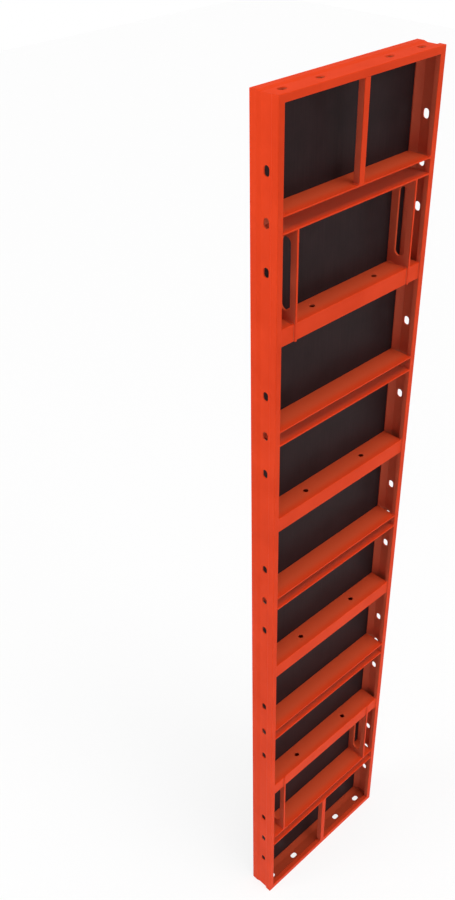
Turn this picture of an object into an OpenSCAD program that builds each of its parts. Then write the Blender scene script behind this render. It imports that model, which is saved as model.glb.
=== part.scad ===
// Steel framed formwork panel with a plywood casting face.
// The origin is at the middle of the base. X runs across the panel, Z runs up it,
// the open back faces -Y and the casting face +Y. All sizes are in millimetres.

/* [Panel] */
// Overall width of the panel
panel_width = 600; // [450:10:900]
// Overall height of the panel
panel_height = 3000; // [2900:10:3300]
// Depth from the back edges of the frame to the casting face
panel_depth = 90; // [84:1:110]

/* [Edge rail section] */
// Width of the hollow flange along the back edge
flange_width = 20; // [16:0.5:26]
// Depth of that flange, measured from the back edge
flange_depth = 14.5; // [11:0.5:18]
// Wall thickness of the rolled section
rail_wall = 3.5; // [2.5:0.1:4]
// Depth of the clamping groove along the outer face
groove_depth = 2.5; // [1:0.1:4]
// Flat outer land between the back edge and the groove
back_land = 21; // [19:0.5:26]
// Depth over which the groove drops on its steep side
groove_steep_run = 3; // [2:0.5:5]
// Depth over which the groove rises on its gentle side
groove_gentle_run = 12; // [6:0.5:16]
// Flat outer land between the groove and the casting face
front_land = 21; // [17:0.5:26]
// Reach of the facing shelf, measured from the outer face
shelf_reach = 19; // [15:0.5:24]
// Height of the blunt nose of the shelf
shelf_nose = 3; // [2:0.5:5]
// Depth of the sloping shoulder that carries the shelf
shoulder_run = 18; // [12:1:22]
// Width of the lip that guards the edge of the facing
lip_width = 4; // [2:0.5:6]
// Radius of the outer corner along the back edge
rail_corner_radius = 2; // [0.5:0.5:3]

/* [Connector slots] */
// Width of the slots in the edge rails
slot_width = 18; // [12:1:22]
// Length of the slots, along the rail
slot_length = 27; // [23:1:40]
// Distance of the slots' centre line from the back edge
slot_inset = 38.5; // [36:0.5:42]
// Spacing of the three slots at each channel rib
slot_group_pitch = 125; // [90:5:130]
// Spacing of the slots in the top and bottom rails
end_slot_pitch = 125; // [90:5:130]

/* [Ribs] */
// Spacing of the cross ribs
rib_pitch = 300; // [280:5:310]
// Height of the open channel ribs
channel_height = 48; // [40:0.5:60]
// Wall thickness of the channel ribs
channel_wall = 4; // [3:0.5:5]
// Height of the closed box ribs
box_height = 49; // [40:0.5:60]
// Wall thickness of the box ribs
box_wall = 3; // [2:0.5:5]
// Distance of the box ribs' back face from the back edge
box_recess = 4; // [3:0.5:8]
// Outside corner radius of the ribs and stiffeners
outer_radius = 1.5; // [0.5:0.5:4]
// Inside corner radius of the ribs and stiffeners
inner_radius = 1; // [0.5:0.5:3]
// Diameter of the accessory holes through the box ribs
rib_hole_diameter = 16; // [10:1:22]
// Distance of the accessory holes from the middle of the panel
rib_hole_offset = 125; // [60:5:130]
// Distance of the accessory holes from the back edge
rib_hole_inset = 40; // [34:1:46]

/* [Centre stiffeners] */
// Width of the tubes that stiffen the end bays
stiffener_width = 20; // [16:1:40]
// Depth of those tubes, from the back edge
stiffener_depth = 20; // [16:1:60]
// Wall thickness of those tubes
stiffener_wall = 2; // [1.5:0.5:4]

/* [Handle plates] */
// Clear gap for the hand between a handle plate and the side rail's flange
handle_gap = 49; // [38:1:70]
// Thickness of a handle plate
handle_thickness = 6; // [4:0.5:10]
// Width of the hand slot
hand_slot_width = 32; // [24:1:36]
// Distance of the hand slot's centre line from the back edge
hand_slot_inset = 36; // [32:0.5:42]
// Metal left at each end of the hand slot
hand_slot_margin = 27; // [12:1:50]

/* [Facing] */
// Thickness of the plywood facing
facing_thickness = 15; // [12:0.5:18]
// Width of the sealant joint round the facing
seal_width = 1.5; // [1:0.5:3]
// Spacing of the rivets along a rib
rivet_pitch = 150; // [100:5:180]
// Diameter of a rivet's shank
rivet_diameter = 5; // [4:0.5:6]
// Diameter of a rivet's countersunk head
rivet_head_diameter = 10; // [8:0.5:12]
// Depth of a rivet's countersunk head
rivet_head_depth = 2.5; // [1.5:0.5:3.5]
// Diameter of the formed end of a rivet
rivet_tail_diameter = 9; // [7:0.5:11]
// Height of the formed end of a rivet
rivet_tail_height = 3; // [2:0.5:5]

/* [Hidden] */
$fn = 48;

paint = "#DE4426";
film = "#2C2020";
sealant = "#6E6A66";
zinc = "#A9A8A4";

cut = 1;                                        // how far a cutter runs past the metal
rib_count = 9;                                  // channel ribs are the odd ones
half_width = panel_width / 2;
half_depth = panel_depth / 2;
shelf_depth = panel_depth - facing_thickness;   // from the back edge to the back of the facing
web_inside = groove_depth + rail_wall;          // inner face of the web, from the outer face
rib_length = panel_width - 2 * flange_width;
facing_margin = lip_width + seal_width;         // from the outer face to the plywood's edge
handle_length = rib_pitch - (channel_height + box_height) / 2;

function rib_level(i) = panel_height / 2 + (i - (rib_count + 1) / 2) * rib_pitch;
function channel_level(i) = rib_level(2 * i - 1);
function box_level(i) = rib_level(2 * i);
function both_sides(offsets) = [for (side = [-1, 1]) for (x = offsets) side * x];

side_slot_levels = [for (i = [1 : 5]) for (k = [-1 : 1]) channel_level(i) + k * slot_group_pitch];
end_slot_room = half_width - flange_width - slot_length / 2;
end_slot_places = both_sides([for (k = [1 : floor(end_slot_room / end_slot_pitch)]) k * end_slot_pitch]);
rivet_room = half_width - flange_width - rivet_head_diameter;
rivet_places = both_sides([for (k = [1 : floor(rivet_room / rivet_pitch + 0.5)]) (k - 0.5) * rivet_pitch]);

// Removes a square corner at the origin and leaves a round one in +X +Y
module corner_cutter(radius) {
    difference() {
        translate([-cut, -cut]) square(radius + cut);
        translate([radius, radius]) circle(radius);
    }
}

module rounded_rectangle(size, radius) {
    translate([radius, 0]) square([size.x - 2 * radius, size.y]);
    translate([0, radius]) square([size.x, size.y - 2 * radius]);
    for (x = [radius, size.x - radius], y = [radius, size.y - radius])
        translate([x, y]) circle(radius);
}

// Slot with round ends that runs along X
module slot_outline(length, width) {
    reach = (length - width) / 2;
    translate([-reach, -width / 2]) square([2 * reach, width]);
    for (side = [-1, 1]) translate([side * reach, 0]) circle(d = width);
}

// Extrudes a profile drawn in Y and Z along X, centred on the panel
module across(length) {
    translate([-length / 2, 0, 0]) rotate([90, 0, 90]) linear_extrude(length) children();
}

// Rail section: X runs in from the outer face, Y runs from the back edge to the casting face
module rail_profile() {
    groove_front = panel_depth - front_land;
    nose_depth = shelf_depth - shelf_nose;
    shoulder_depth = nose_depth - shoulder_run;
    slope = (shelf_reach - web_inside) / shoulder_run;
    slant_wall = rail_wall * sqrt(1 + slope * slope);
    core_front = shelf_depth - rail_wall;
    core_reach = web_inside + (core_front - shoulder_depth) * slope - slant_wall;
    difference() {
        polygon([
            [0, 0], [flange_width, 0], [flange_width, flange_depth], [rail_wall, flange_depth],
            [rail_wall, back_land], [web_inside, back_land + groove_steep_run],
            [web_inside, shoulder_depth], [shelf_reach, nose_depth], [shelf_reach, shelf_depth],
            [lip_width, shelf_depth], [lip_width, panel_depth], [0, panel_depth],
            [0, groove_front], [groove_depth, groove_front - groove_gentle_run],
            [groove_depth, back_land + groove_steep_run], [0, back_land]
        ]);
        corner_cutter(rail_corner_radius);
        translate([flange_width, 0]) mirror([1, 0]) corner_cutter(rail_corner_radius);
        translate([rail_wall, rail_wall])
            square([flange_width - 2 * rail_wall, flange_depth - 2 * rail_wall]);
        polygon([
            [web_inside, shoulder_depth + slant_wall / slope],
            [core_reach, core_front],
            [web_inside, core_front]
        ]);
    }
}

// Rail along Z with both ends mitred, its outer face at X = 0 and its back edge at Y = 0
module rail(length, slot_places) {
    mitre = max(flange_width, shelf_reach) + cut;
    difference() {
        intersection() {
            linear_extrude(length) rail_profile();
            translate([0, panel_depth + cut, 0]) rotate([90, 0, 0])
                linear_extrude(panel_depth + 2 * cut)
                    polygon([[0, 0], [mitre, mitre], [mitre, length - mitre], [0, length]]);
        }
        for (z = slot_places)
            translate([-cut, slot_inset, z]) rotate([0, 90, 0])
                linear_extrude(web_inside + 2 * cut) slot_outline(slot_length, slot_width);
    }
}

module side_rail() {
    color(paint) translate([-half_width, -half_depth, 0]) rail(panel_height, side_slot_levels);
}

module end_rail() {
    places = [for (x = end_slot_places) x + half_width];
    color(paint) translate([half_width, -half_depth, 0]) rotate([0, -90, 0])
        rail(panel_width, places);
}

module rivet_holes(wall_depth) {
    for (x = rivet_places)
        translate([x, half_depth - facing_thickness + cut, 0]) rotate([90, 0, 0])
            cylinder(h = wall_depth + 2 * cut, d = rivet_diameter);
}

// Open channel with its flanges towards the back and its web behind the facing
module channel_rib(i) {
    color(paint) translate([0, 0, channel_level(i)]) difference() {
        across(rib_length) translate([-half_depth, -channel_height / 2]) difference() {
            square([shelf_depth, channel_height]);
            translate([shelf_depth, 0]) mirror([1, 0]) corner_cutter(outer_radius);
            translate([shelf_depth, channel_height]) rotate(180) corner_cutter(outer_radius);
            translate([-channel_height, channel_wall])
                rounded_rectangle([
                    shelf_depth - channel_wall + channel_height,
                    channel_height - 2 * channel_wall
                ], inner_radius);
        }
        rivet_holes(channel_wall);
    }
}

// Closed rectangular tube behind the facing, drilled through for accessories
module box_rib(i) {
    depth = shelf_depth - box_recess;
    color(paint) translate([0, 0, box_level(i)]) difference() {
        across(rib_length) translate([box_recess - half_depth, -box_height / 2]) difference() {
            rounded_rectangle([depth, box_height], outer_radius);
            translate([box_wall, box_wall])
                rounded_rectangle([depth - 2 * box_wall, box_height - 2 * box_wall], inner_radius);
        }
        for (x = both_sides([rib_hole_offset]))
            translate([x, rib_hole_inset - half_depth, -box_height / 2 - cut])
                cylinder(h = box_height + 2 * cut, d = rib_hole_diameter);
        rivet_holes(box_wall);
    }
}

// Tube along the back edge, between an end rail's flange and the first channel rib
module centre_stiffener() {
    length = channel_level(1) - channel_height / 2 - flange_width;
    color(paint) translate([-stiffener_width / 2, -half_depth, flange_width])
        linear_extrude(length) difference() {
            rounded_rectangle([stiffener_width, stiffener_depth], outer_radius);
            translate([stiffener_wall, stiffener_wall])
                rounded_rectangle([
                    stiffener_width - 2 * stiffener_wall,
                    stiffener_depth - 2 * stiffener_wall
                ], inner_radius);
        }
}

// Plate between a box rib and the next channel rib, with a tongue that laps the box rib's back
module handle_plate() {
    slot_run = handle_length - 2 * hand_slot_margin;
    color(paint) translate([flange_width + handle_gap - half_width, -half_depth, 0])
        translate([0, 0, box_level(4) + box_height / 2]) rotate([90, 0, 90])
            linear_extrude(handle_thickness) difference() {
                polygon([
                    [0, -box_height], [box_recess, -box_height], [box_recess, 0],
                    [shelf_depth, 0], [shelf_depth, handle_length], [0, handle_length]
                ]);
                translate([hand_slot_inset, handle_length / 2]) rotate(90)
                    slot_outline(slot_run, hand_slot_width);
            }
}

// Rectangle that stands in from the outer faces of the frame by a margin
module facing_outline(margin) {
    translate([margin - half_width, margin])
        square([panel_width - 2 * margin, panel_height - 2 * margin]);
}

// Lays an outline drawn in X and Z into the depth of the facing
module facing_layer() {
    translate([0, half_depth, 0]) rotate([90, 0, 0]) linear_extrude(facing_thickness) children();
}

module rivet_head() {
    rotate([90, 0, 0])
        cylinder(h = rivet_head_depth, d1 = rivet_head_diameter, d2 = rivet_diameter);
}

module plywood_facing() {
    color(film) difference() {
        facing_layer() facing_outline(facing_margin);
        for (i = [1 : rib_count], x = rivet_places) translate([x, half_depth, rib_level(i)]) {
            rivet_head();
            translate([0, cut, 0]) rotate([90, 0, 0])
                cylinder(h = facing_thickness + 2 * cut, d = rivet_diameter);
        }
    }
}

module facing_seal() {
    color(sealant) facing_layer() difference() {
        facing_outline(lip_width);
        facing_outline(facing_margin);
    }
}

// Countersunk rivets through the facing and one wall of a rib
module rivet_row(level, wall_depth) {
    grip = facing_thickness + wall_depth;
    color(zinc) for (x = rivet_places) translate([x, half_depth, level]) {
        rivet_head();
        rotate([90, 0, 0]) cylinder(h = grip, d = rivet_diameter);
        translate([0, -grip, 0]) rotate([90, 0, 0])
            cylinder(h = rivet_tail_height, d = rivet_tail_diameter);
    }
}

module channel_rib_rivets() {
    for (i = [1 : 5]) rivet_row(channel_level(i), channel_wall);
}

module box_rib_rivets() {
    for (i = [1 : 4]) rivet_row(box_level(i), box_wall);
}

module right() { mirror([1, 0, 0]) children(); }
module upside_down() { translate([0, 0, panel_height]) mirror([0, 0, 1]) children(); }

side_rail();  // left_side_rail
right() side_rail();  // right_side_rail
upside_down() end_rail();  // top_rail
end_rail();  // bottom_rail
channel_rib(1);  // channel_rib_1
channel_rib(2);  // channel_rib_2
channel_rib(3);  // channel_rib_3
channel_rib(4);  // channel_rib_4
channel_rib(5);  // channel_rib_5
box_rib(1);  // box_rib_1
box_rib(2);  // box_rib_2
box_rib(3);  // box_rib_3
box_rib(4);  // box_rib_4
upside_down() centre_stiffener();  // upper_centre_stiffener
centre_stiffener();  // lower_centre_stiffener
handle_plate();  // upper_left_handle_plate
right() handle_plate();  // upper_right_handle_plate
upside_down() handle_plate();  // lower_left_handle_plate
upside_down() right() handle_plate();  // lower_right_handle_plate
plywood_facing();
facing_seal();
channel_rib_rivets();
box_rib_rivets();
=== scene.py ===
import math

import bmesh
import bpy
from mathutils import Matrix, Vector, noise


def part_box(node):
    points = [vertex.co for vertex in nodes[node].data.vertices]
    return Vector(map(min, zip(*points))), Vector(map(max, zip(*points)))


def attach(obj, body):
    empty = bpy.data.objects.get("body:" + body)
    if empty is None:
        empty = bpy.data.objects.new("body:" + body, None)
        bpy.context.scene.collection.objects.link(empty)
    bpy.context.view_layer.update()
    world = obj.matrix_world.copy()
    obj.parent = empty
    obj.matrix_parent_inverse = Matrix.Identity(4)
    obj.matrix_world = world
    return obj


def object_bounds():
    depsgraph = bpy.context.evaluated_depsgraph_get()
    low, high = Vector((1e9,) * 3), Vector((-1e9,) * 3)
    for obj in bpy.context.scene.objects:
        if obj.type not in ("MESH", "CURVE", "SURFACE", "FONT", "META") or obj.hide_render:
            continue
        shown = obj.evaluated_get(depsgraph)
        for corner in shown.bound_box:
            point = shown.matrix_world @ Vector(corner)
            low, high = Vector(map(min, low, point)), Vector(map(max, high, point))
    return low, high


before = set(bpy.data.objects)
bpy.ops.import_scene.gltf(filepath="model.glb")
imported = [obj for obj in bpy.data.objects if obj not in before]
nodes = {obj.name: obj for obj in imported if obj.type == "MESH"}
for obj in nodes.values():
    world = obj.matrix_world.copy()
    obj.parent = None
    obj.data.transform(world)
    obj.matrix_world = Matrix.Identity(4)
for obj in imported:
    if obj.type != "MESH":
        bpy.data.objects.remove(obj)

mm = 0.001
scene = bpy.context.scene
cadLow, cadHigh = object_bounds()


def linearColour(hexText):
    # sRGB hex to the linear values that shaders take
    parts = [int(hexText[i:i + 2], 16) / 255 for i in (1, 3, 5)]
    linear = [p / 12.92 if p <= 0.04045 else ((p + 0.055) / 1.055) ** 2.4 for p in parts]
    return (*linear, 1.0)


def addNode(tree, kind, settings=None, inputs=None):
    # a value in inputs is a constant, or the output socket that feeds it
    node = tree.nodes.new("ShaderNode" + kind)
    for name, value in (settings or {}).items():
        setattr(node, name, value)
    for name, value in (inputs or {}).items():
        if isinstance(value, bpy.types.NodeSocket):
            tree.links.new(value, node.inputs[name])
        else:
            node.inputs[name].default_value = value
    return node


def newMaterial(name):
    material = bpy.data.materials.new(name)
    material.use_nodes = True
    material.node_tree.nodes.clear()
    return material, material.node_tree


enamel = {
    "thinColour": "#DB3E19",    # red-orange, where the coat is a little thin
    "fullColour": "#E5441E",    # where it has flowed together
    "paintedRecessColour": "#DC5532",     # painted shade and grey fill light: duller and paler deeper in the frame
    "paintedSideFillColour": "#D76246",   # painted fill light: palest, on walls inside the frame that face to the side
    "paintedChannelFillColour": "#D67054",    # painted fill light and shade inside the channel ribs
    "paintedTroughShadeColour": "#5A2A20",   # painted shade: darker in the trough of the bottom rail
    "paintedRecessDepth": 34 * mm,        # depth behind the back edges at which the painted recess shade is full
    "sideFillDepth": 3 * mm,       # the same for the painted fill light on walls facing to the side
    "shell": 3 * mm,            # how far in from the outer faces the full coat reaches
    "facing": (0.65, 0.75),     # how squarely a face looks along an axis before it counts
    "channelWall": 4 * mm,      # thickness of the channel ribs' steel
    "troughShadeHeight": 19 * mm,     # up to just over the floor of the trough
    "troughShadeShare": 0.4,
    "coatPatch": 140 * mm,      # size of the patches of thick and thin coat
    "coatRange": (0.3, 0.7),    # noise values at which the coat is thin and full
    "peelGrain": 2.4 * mm,      # orange peel, drawn twice as coarse as the real one so that it shows
    "peelHeight": 0.05 * mm,
    "roughness": 0.45,
    "sheenSpread": 0.05,        # how much duller the thin coat is, and glossier the full one
    "index": 1.5,
    "specular": 0.045,
    "dulled": 0.008,            # the same on faces that look up, under settled dust
}


def paintedLightLayers(tree, place):
    # painted shade and fill light laid over the plain coat, in order, and the share of each, from 0 to 1
    middle = (cadLow + cadHigh) / 2
    reach = cadHigh - middle
    fromMiddle = addNode(tree, "VectorMath", {"operation": "SUBTRACT"}, {0: place, 1: middle})
    distance = addNode(tree, "VectorMath", {"operation": "ABSOLUTE"}, {0: fromMiddle.outputs["Vector"]})
    away = addNode(tree, "SeparateXYZ", inputs={"Vector": distance.outputs["Vector"]}).outputs
    part = addNode(tree, "SeparateXYZ", inputs={"Vector": place}).outputs
    inside = 1.0                # becomes 0 on the outer faces
    for axis, outerFace in (("X", reach.x), ("Z", reach.z)):
        inside = addNode(tree, "MapRange", inputs={
            "Value": away[axis], "From Min": outerFace - enamel["shell"],
            "From Max": outerFace - 2 * enamel["shell"], "To Max": inside}).outputs["Result"]
    # painted shade and grey fill light, growing deeper behind the back edges
    recessShare = addNode(tree, "MapRange", {"interpolation_type": "SMOOTHSTEP"}, {
        "Value": part["Y"], "From Min": cadLow.y,
        "From Max": cadLow.y + enamel["paintedRecessDepth"], "To Max": inside})
    within = addNode(tree, "MapRange", inputs={
        "Value": part["Y"], "From Min": cadLow.y,
        "From Max": cadLow.y + enamel["sideFillDepth"], "To Max": inside})
    # painted fill light on walls that face to the side
    normal = addNode(tree, "TexCoord").outputs["Normal"]
    turned = addNode(tree, "VectorMath", {"operation": "ABSOLUTE"}, {0: normal})
    facing = addNode(tree, "SeparateXYZ", inputs={"Vector": turned.outputs["Vector"]})
    sideways = addNode(tree, "MapRange", inputs={
        "Value": facing.outputs["X"], "From Min": enamel["facing"][0],
        "From Max": enamel["facing"][1], "To Max": within.outputs["Result"]})
    # painted fill light and shade inside the channel ribs, which stand at equal steps from the middle one
    ribLow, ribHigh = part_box("channel_rib_1")
    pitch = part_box("channel_rib_2")[0].z - ribLow.z
    ribHalf = (ribHigh.z - ribLow.z) / 2
    toRib = addNode(tree, "Math", {"operation": "PINGPONG"}, {0: away["Z"], 1: pitch / 2})
    channelFillShare = addNode(tree, "MapRange", inputs={
        "Value": toRib.outputs["Value"], "From Min": ribHalf - enamel["channelWall"] / 2,
        "From Max": ribHalf - enamel["channelWall"], "To Max": recessShare.outputs["Result"]})
    # painted shade in the trough of the bottom rail
    troughShadeAmount = addNode(tree, "Math", {"operation": "MULTIPLY"}, {
        0: within.outputs["Result"], 1: enamel["troughShadeShare"]})
    troughShade = addNode(tree, "MapRange", inputs={
        "Value": part["Z"], "From Min": cadLow.z + enamel["troughShadeHeight"] + enamel["shell"],
        "From Max": cadLow.z + enamel["troughShadeHeight"], "To Max": troughShadeAmount.outputs["Value"]})
    return (("paintedRecessColour", recessShare), ("paintedSideFillColour", sideways), ("paintedChannelFillColour", channelFillShare), ("paintedTroughShadeColour", troughShade))


def makeEnamel(name, extraRoughness=0.0):
    # Alkyd enamel sprayed on rolled steel: an even, nearly matt coat with a faint orange peel,
    # with painted shade and fill light in the frame's recesses, channels and bottom trough
    material, tree = newMaterial(name)
    place = addNode(tree, "TexCoord").outputs["Object"]
    patch = addNode(tree, "TexNoise", inputs={
        "Vector": place, "Scale": 1 / enamel["coatPatch"], "Detail": 3.0, "Roughness": 0.5})
    cover = addNode(tree, "MapRange", inputs={
        "Value": patch.outputs["Fac"],
        "From Min": enamel["coatRange"][0], "From Max": enamel["coatRange"][1]})
    colour = addNode(tree, "MixRGB", inputs={
        "Fac": cover.outputs["Result"],
        "Color1": linearColour(enamel["thinColour"]), "Color2": linearColour(enamel["fullColour"])})
    for layer, share in paintedLightLayers(tree, place):
        colour = addNode(tree, "MixRGB", inputs={
            "Fac": share.outputs["Result"],
            "Color1": colour.outputs["Color"], "Color2": linearColour(enamel[layer])})
    peel = addNode(tree, "TexNoise", inputs={
        "Vector": place, "Scale": 1 / enamel["peelGrain"], "Detail": 1.0, "Roughness": 0.4})
    bump = addNode(tree, "Bump", inputs={
        "Height": peel.outputs["Fac"], "Distance": enamel["peelHeight"], "Strength": 1.0})
    roughness = enamel["roughness"] + extraRoughness
    sheen = addNode(tree, "MapRange", inputs={
        "Value": patch.outputs["Fac"],
        "To Min": roughness + enamel["sheenSpread"], "To Max": roughness - enamel["sheenSpread"]})
    normal = addNode(tree, "TexCoord").outputs["Normal"]
    upward = addNode(tree, "SeparateXYZ", inputs={"Vector": normal}).outputs["Z"]
    gloss = addNode(tree, "MapRange", inputs={
        "Value": upward, "From Min": enamel["facing"][0], "From Max": enamel["facing"][1],
        "To Min": enamel["specular"], "To Max": enamel["dulled"]})
    shader = addNode(tree, "BsdfPrincipled", inputs={
        "Base Color": colour.outputs["Color"], "Roughness": sheen.outputs["Result"],
        "IOR": enamel["index"], "Specular IOR Level": gloss.outputs["Result"],
        "Normal": bump.outputs["Normal"]})
    addNode(tree, "OutputMaterial", inputs={"Surface": shader.outputs["BSDF"]})
    return material


film = {
    "colour": "#2B2021",
    "streakColour": "#352829",
    "veneerGrain": 3.0 * mm,    # spacing of the veneer's grain where it shows through the film
    "grainStretch": 60.0,       # length of a grain line over its width
    "grainHeight": 0.03 * mm,
    "cloud": 90 * mm,           # size of the patches where the film is thicker
    "streakRange": (0.12, 0.45),    # grain times cloud, where streaks start and are full
    "roughness": 0.38,
    "sheenSpread": 0.08,
    "index": 1.6,
    "specular": 0.03,
}


def makeFilm(name):
    # Birch plywood hot pressed with phenolic film: dark, smooth, satin,
    # with the veneer's grain just showing
    material, tree = newMaterial(name)
    place = addNode(tree, "TexCoord").outputs["Object"]
    along = addNode(tree, "Mapping", inputs={
        "Vector": place, "Scale": (1.0, 1.0, 1 / film["grainStretch"])})
    grain = addNode(tree, "TexNoise", inputs={
        "Vector": along.outputs["Vector"], "Scale": 1 / film["veneerGrain"],
        "Detail": 4.0, "Roughness": 0.6})
    cloud = addNode(tree, "TexNoise", inputs={
        "Vector": place, "Scale": 1 / film["cloud"], "Detail": 3.0, "Roughness": 0.6})
    mixed = addNode(tree, "Math", {"operation": "MULTIPLY"}, {
        0: grain.outputs["Fac"], 1: cloud.outputs["Fac"]})
    streak = addNode(tree, "MapRange", inputs={
        "Value": mixed.outputs["Value"],
        "From Min": film["streakRange"][0], "From Max": film["streakRange"][1]})
    colour = addNode(tree, "MixRGB", inputs={
        "Fac": streak.outputs["Result"],
        "Color1": linearColour(film["colour"]), "Color2": linearColour(film["streakColour"])})
    bump = addNode(tree, "Bump", inputs={
        "Height": grain.outputs["Fac"], "Distance": film["grainHeight"], "Strength": 1.0})
    sheen = addNode(tree, "MapRange", inputs={
        "Value": cloud.outputs["Fac"],
        "To Min": film["roughness"] - film["sheenSpread"],
        "To Max": film["roughness"] + film["sheenSpread"]})
    shader = addNode(tree, "BsdfPrincipled", inputs={
        "Base Color": colour.outputs["Color"], "Roughness": sheen.outputs["Result"],
        "IOR": film["index"], "Specular IOR Level": film["specular"],
        "Normal": bump.outputs["Normal"]})
    addNode(tree, "OutputMaterial", inputs={"Surface": shader.outputs["BSDF"]})
    return material


sealant = {
    "colour": "#5A5653",
    "ripple": 6.0 * mm,         # marks of the tooling finger
    "rippleHeight": 0.15 * mm,
    "roughness": 0.6,
    "index": 1.41,
}


def makeSealant(name):
    # Silicone, gunned and smoothed: matt, a little rubbery
    material, tree = newMaterial(name)
    place = addNode(tree, "TexCoord").outputs["Object"]
    ripple = addNode(tree, "TexNoise", inputs={
        "Vector": place, "Scale": 1 / sealant["ripple"], "Detail": 2.0})
    bump = addNode(tree, "Bump", inputs={
        "Height": ripple.outputs["Fac"], "Distance": sealant["rippleHeight"], "Strength": 1.0})
    shader = addNode(tree, "BsdfPrincipled", inputs={
        "Base Color": linearColour(sealant["colour"]), "Roughness": sealant["roughness"],
        "IOR": sealant["index"], "Normal": bump.outputs["Normal"]})
    addNode(tree, "OutputMaterial", inputs={"Surface": shader.outputs["BSDF"]})
    return material


rivet = {
    "colour": "#B9B8B4",
    "grain": 0.5 * mm,          # crystal size of the zinc
    "roughness": (0.30, 0.50),  # at the middle of a crystal and at its edge
}


def makeZinc(name):
    # Steel rivet, zinc plated: a soft grey metal with a fine crystalline mottle
    material, tree = newMaterial(name)
    place = addNode(tree, "TexCoord").outputs["Object"]
    grain = addNode(tree, "TexVoronoi", inputs={"Vector": place, "Scale": 1 / rivet["grain"]})
    sheen = addNode(tree, "MapRange", inputs={
        "Value": grain.outputs["Distance"],
        "To Min": rivet["roughness"][0], "To Max": rivet["roughness"][1]})
    shader = addNode(tree, "BsdfPrincipled", inputs={
        "Base Color": linearColour(rivet["colour"]), "Metallic": 1.0,
        "Roughness": sheen.outputs["Result"]})
    addNode(tree, "OutputMaterial", inputs={"Surface": shader.outputs["BSDF"]})
    return material


def dress(name, material):
    piece = nodes[name]
    piece.data.materials.clear()
    piece.data.materials.append(material)


paintedSteel = makeEnamel("sprayedEnamelOnSteel")
paintedWeld = makeEnamel("sprayedEnamelOnWeld", extraRoughness=0.06)
filmedPlywood = makeFilm("phenolicFilmOnPlywood")
tooledSealant = makeSealant("tooledSilicone")
platedRivet = makeZinc("zincPlatedRivet")
finishOf = {
    # the nodes that aren't painted steel
    "plywood_facing": filmedPlywood,
    "facing_seal": tooledSealant,
    "channel_rib_rivets": platedRivet,
    "box_rib_rivets": platedRivet,
}
for name in nodes:
    dress(name, finishOf.get(name, paintedSteel))
print("finishes done")


weld = {
    "leg": 3.5 * mm,            # size of a fillet
    "tongueLeg": 2.8 * mm,      # the same down the tongues of the handle plates
    "seatLeg": 2.0 * mm,        # and beside the box ribs' backs, short of the flange's rounded edge
    "ripple": 1.8 * mm,         # pitch of the frozen ripples
    "ringsPerRipple": 3,
    "fewestRings": 6,
    "rippleDepth": 0.10,        # share of the leg
    "wander": 0.12,             # uneven width, as a share of the leg
    "wanderLength": 9 * mm,     # length over which the width wanders
    "endTaper": 3.0 * mm,       # length over which a run starts and ends
    "endSize": 0.08,            # share of the leg that is left at its very end
    "bulge": 5,                 # points across the face of the fillet
    "roundness": 0.45,          # 0 is a flat face, 1 a quarter circle
    "seedStep": 7.3,            # sets the unevenness of one run apart from the next
}


def filletRun(mesh, start, end, sideA, sideB, leg, seed):
    # a fillet between two walls: sideA and sideB point along the walls, away from the corner
    start, end = Vector(start), Vector(end)
    sideA, sideB = Vector(sideA), Vector(sideB)
    run = end - start
    length = run.length
    steps = max(weld["fewestRings"], round(length / (weld["ripple"] / weld["ringsPerRipple"])))
    rings = []
    for i in range(steps + 1):
        t = i / steps
        along = t * length
        fromEnd = min(along, length - along)
        taper = math.sqrt(max(0.0, 1 - (1 - min(1.0, fromEnd / weld["endTaper"])) ** 2))
        scallop = 1 - weld["rippleDepth"] * abs(math.sin(math.pi * along / weld["ripple"]))
        uneven = 1 + weld["wander"] * noise.noise(Vector((along / weld["wanderLength"], seed, 0.0)))
        size = leg * max(weld["endSize"], taper) * scallop * uneven
        corner = start + run * t
        ring = [mesh.verts.new(corner)]
        for k in range(weld["bulge"]):
            turn = k / (weld["bulge"] - 1)
            angle = math.pi / 2 * turn
            flat, curved = (1 - turn, turn), (math.cos(angle), math.sin(angle))
            a, b = (f + weld["roundness"] * (c - f) for f, c in zip(flat, curved))
            ring.append(mesh.verts.new(corner + (sideA * a + sideB * b) * size))
        rings.append(ring)
    count = len(rings[0])
    for ringA, ringB in zip(rings, rings[1:]):
        for k in range(count):
            mesh.faces.new((ringA[k], ringA[(k + 1) % count], ringB[(k + 1) % count], ringB[k]))
    mesh.faces.new(rings[0][::-1])
    mesh.faces.new(rings[-1])


def weldPiece(name, runs):
    # runs: start, end, the two wall directions and the leg
    mesh = bmesh.new()
    for seed, (start, end, sideA, sideB, leg) in enumerate(runs):
        filletRun(mesh, start, end, sideA, sideB, leg, seed * weld["seedStep"])
    bmesh.ops.recalc_face_normals(mesh, faces=mesh.faces)
    for face in mesh.faces:
        face.smooth = len(face.verts) == 4
    data = bpy.data.meshes.new(name)
    mesh.to_mesh(data)
    mesh.free()
    piece = bpy.data.objects.new(name, data)
    scene.collection.objects.link(piece)
    data.materials.append(paintedWeld)
    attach(piece, "root")


weldPlaces = {
    "flangeDepth": 14.2 * mm,   # just short of the flange's front edge
    "edgeInset": 1.0 * mm,      # a run starts this far in from the back edge
    "boxCorner": 1.6 * mm,      # clear of a box rib's rounded corner
    "tubeCorner": 1.6 * mm,     # clear of a stiffener's rounded corner
    "stitch": 24 * mm,          # length of a run at each end of a handle plate's seam
    "tongueRun": 47 * mm,       # ends just short of the tongue's end
}


def stitches(first, last, length):
    # one run at each end of a seam
    return [(first, first + length), (last - length, last)]


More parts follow.
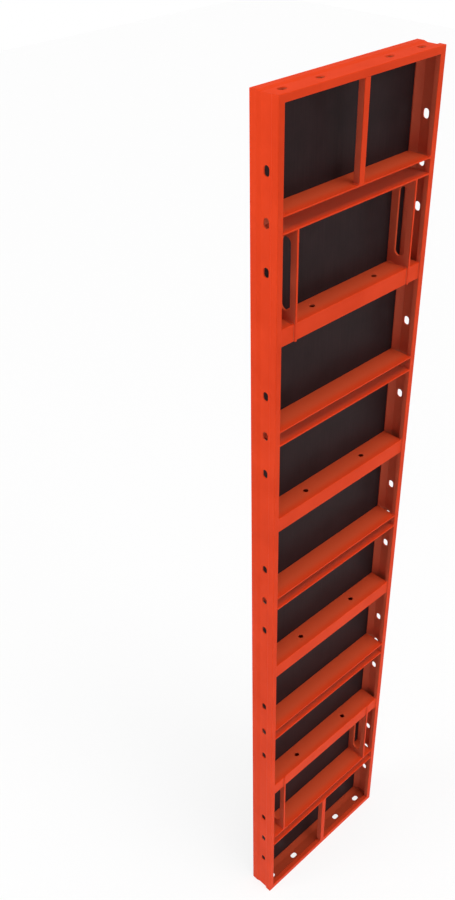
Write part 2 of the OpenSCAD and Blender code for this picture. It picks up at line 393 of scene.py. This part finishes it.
def ribWelds():
    # each rib's ends against the hollow flanges of the side rails
    runs = []
    flangeFront = cadLow.y + weldPlaces["flangeDepth"]
    for name in sorted(nodes):
        if not name.startswith(("channel_rib_", "box_rib_")) or name.endswith("rivets"):
            continue
        low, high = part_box(name)
        closed = name.startswith("box")
        inset = weldPlaces["boxCorner"] if closed else weldPlaces["edgeInset"]
        for x, inward in ((low.x, 1), (high.x, -1)):
            for z, away in ((high.z, 1), (low.z, -1)):
                runs.append(((x, low.y + inset, z), (x, flangeFront, z), (0, 0, away), (inward, 0, 0),
                             weld["leg"]))
            if closed:
                runs.append(((x, low.y, low.z + inset), (x, low.y, high.z - inset),
                             (0, -1, 0), (inward, 0, 0), weld["seatLeg"]))
    weldPiece("rib_welds", runs)


def handleWelds():
    # both sides of each plate: along the channel's flange, along the box rib and down the tongue
    runs = []
    for name in sorted(nodes):
        if not name.endswith("handle_plate"):
            continue
        low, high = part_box(name)
        upper = name.startswith("upper")
        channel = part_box("channel_rib_5" if upper else "channel_rib_1")
        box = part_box("box_rib_4" if upper else "box_rib_1")
        channelFace, boxFace = (channel[0].z, box[1].z) if upper else (channel[1].z, box[0].z)
        toPlate = -1 if upper else 1
        for x, outward in ((low.x, -1), (high.x, 1)):
            for y0, y1 in stitches(low.y + weldPlaces["edgeInset"], high.y, weldPlaces["stitch"]):
                runs.append(((x, y0, channelFace), (x, y1, channelFace), (0, 0, toPlate), (outward, 0, 0),
                             weld["leg"]))
            for y0, y1 in stitches(box[0].y + weldPlaces["boxCorner"], high.y, weldPlaces["stitch"]):
                runs.append(((x, y0, boxFace), (x, y1, boxFace), (0, 0, -toPlate), (outward, 0, 0),
                             weld["leg"]))
            z0 = boxFace + toPlate * weldPlaces["boxCorner"]
            z1 = boxFace + toPlate * weldPlaces["tongueRun"]
            runs.append(((x, box[0].y, z0), (x, box[0].y, z1), (0, -1, 0), (outward, 0, 0),
                         weld["tongueLeg"]))
    weldPiece("handle_plate_welds", runs)


def stiffenerWelds():
    # down both sides of each tube, against the end rail's flange and the face of the channel
    runs = []
    inset = weldPlaces["tubeCorner"]
    for name in ("upper_centre_stiffener", "lower_centre_stiffener"):
        low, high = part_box(name)
        for z, away in ((low.z, 1), (high.z, -1)):
            atRail = (away > 0) == name.startswith("lower")
            reach = weldPlaces["flangeDepth"] if atRail else high.y - low.y - inset
            for x, outward in ((low.x, -1), (high.x, 1)):
                runs.append(((x, low.y + inset, z), (x, low.y + reach, z), (0, 0, away), (outward, 0, 0),
                             weld["leg"]))
    weldPiece("stiffener_welds", runs)


ribWelds()
handleWelds()
stiffenerWelds()
print("welds done")


stage = {
    "floorColour": "#FAFAFA",
    "floorSize": 24.0,
    "shadowDepth": 0.20,        # share of the floor's own shading in what shows
    "white": 1.0,               # brightness of the studio white
    "worldStrength": 0.235,     # what the panel is lit by all round
}


def backdropRays(tree):
    # 1 for the rays that see a white studio: the camera's own, mirrored and refracted ones
    rays = addNode(tree, "LightPath").outputs
    seen = rays["Is Camera Ray"]
    for kind in ("Is Glossy Ray", "Is Transmission Ray"):
        seen = addNode(tree, "Math", {"operation": "MAXIMUM"}, {0: seen, 1: rays[kind]}).outputs["Value"]
    return seen


def makeFloor():
    # plain pale floor, white to those rays apart from the panel's soft shadow
    data = bpy.data.meshes.new("floor")
    half = stage["floorSize"] / 2
    corners = [(-half, -half, 0), (half, -half, 0), (half, half, 0), (-half, half, 0)]
    data.from_pydata(corners, [], [(0, 1, 2, 3)])
    floor = bpy.data.objects.new("floor", data)
    scene.collection.objects.link(floor)
    material, tree = newMaterial("paleStudioFloor")
    matt = addNode(tree, "BsdfDiffuse", inputs={"Color": linearColour(stage["floorColour"])})
    white = addNode(tree, "Emission", inputs={"Color": (1.0, 1.0, 1.0, 1.0), "Strength": stage["white"]})
    share = addNode(tree, "Math", {"operation": "MULTIPLY"}, {
        0: backdropRays(tree), 1: 1 - stage["shadowDepth"]})
    shown = addNode(tree, "MixShader", inputs={
        "Fac": share.outputs["Value"], 1: matt.outputs["BSDF"], 2: white.outputs["Emission"]})
    addNode(tree, "OutputMaterial", inputs={"Surface": shown.outputs["Shader"]})
    data.materials.append(material)
    floor.location.z = cadLow.z


def makeWorld():
    world = bpy.data.worlds.new("studio")
    scene.world = world
    world.use_nodes = True
    tree = world.node_tree
    tree.nodes.clear()
    strength = addNode(tree, "MapRange", inputs={
        "Value": backdropRays(tree), "To Min": stage["worldStrength"], "To Max": stage["white"]})
    back = addNode(tree, "Background", inputs={
        "Color": (1.0, 1.0, 1.0, 1.0), "Strength": strength.outputs["Result"]})
    addNode(tree, "OutputWorld", inputs={"Surface": back.outputs[0]})


lamps = {
    # name: where the light comes from, how wide its source looks in degrees, and its strength
    "ceilingLight": {"from": (0.0, -0.2, 1.0), "spread": 40, "strength": 1.8},
    "frontFill": {"from": (0.15, -1.0, 0.32), "spread": 40, "strength": 0.9},
    "sideFill": {"from": (-1.0, 0.35, 0.3), "spread": 40, "strength": 0.82},
}
softBox = {"place": (-2.3, 0.9, 3.9), "aim": (0.0, 0.0, 2.9), "size": 1.2, "power": 20}


def addLight(name, kind, strength, towards):
    data = bpy.data.lights.new(name, kind)
    data.energy = strength
    light = bpy.data.objects.new(name, data)
    scene.collection.objects.link(light)
    light.rotation_euler = (-Vector(towards)).to_track_quat("Z", "Y").to_euler()
    return light


def makeLamps():
    # broad and distant, so that the tall panel is lit much alike from head to foot
    for name, lamp in lamps.items():
        light = addLight(name, "SUN", lamp["strength"], -Vector(lamp["from"]))
        light.data.angle = math.radians(lamp["spread"])
    # one soft box beside the panel's head, which the lens doesn't see
    light = addLight("softBox", "AREA", softBox["power"], Vector(softBox["aim"]) - Vector(softBox["place"]))
    light.data.shape = "DISK"
    light.data.size = softBox["size"]
    light.location = softBox["place"]
    light.visible_camera = False


camera = {
    # just above the panel's head, off its left back corner, looking down
    "place": (-1.88523, -1.54646, 3.60709),
    "right": (0.719783, -0.69397, -0.017836),
    "forward": (0.560993, 0.596605, -0.57389),
    "lens": 40.017,
    "sensor": 36,
    "clip": (0.1, 60),
}


def makeCamera():
    data = bpy.data.cameras.new("camera")
    data.sensor_width = camera["sensor"]
    data.lens = camera["lens"]
    data.clip_start, data.clip_end = camera["clip"]
    eye = bpy.data.objects.new("camera", data)
    scene.collection.objects.link(eye)
    right, forward = Vector(camera["right"]).normalized(), Vector(camera["forward"]).normalized()
    up = right.cross(forward)
    turn = Matrix((right, up, -forward)).transposed().to_4x4()
    eye.matrix_world = Matrix.Translation(camera["place"]) @ turn
    scene.camera = eye


makeFloor()
makeWorld()
makeLamps()
makeCamera()
scene.view_settings.view_transform = "Standard"
print("stage done")
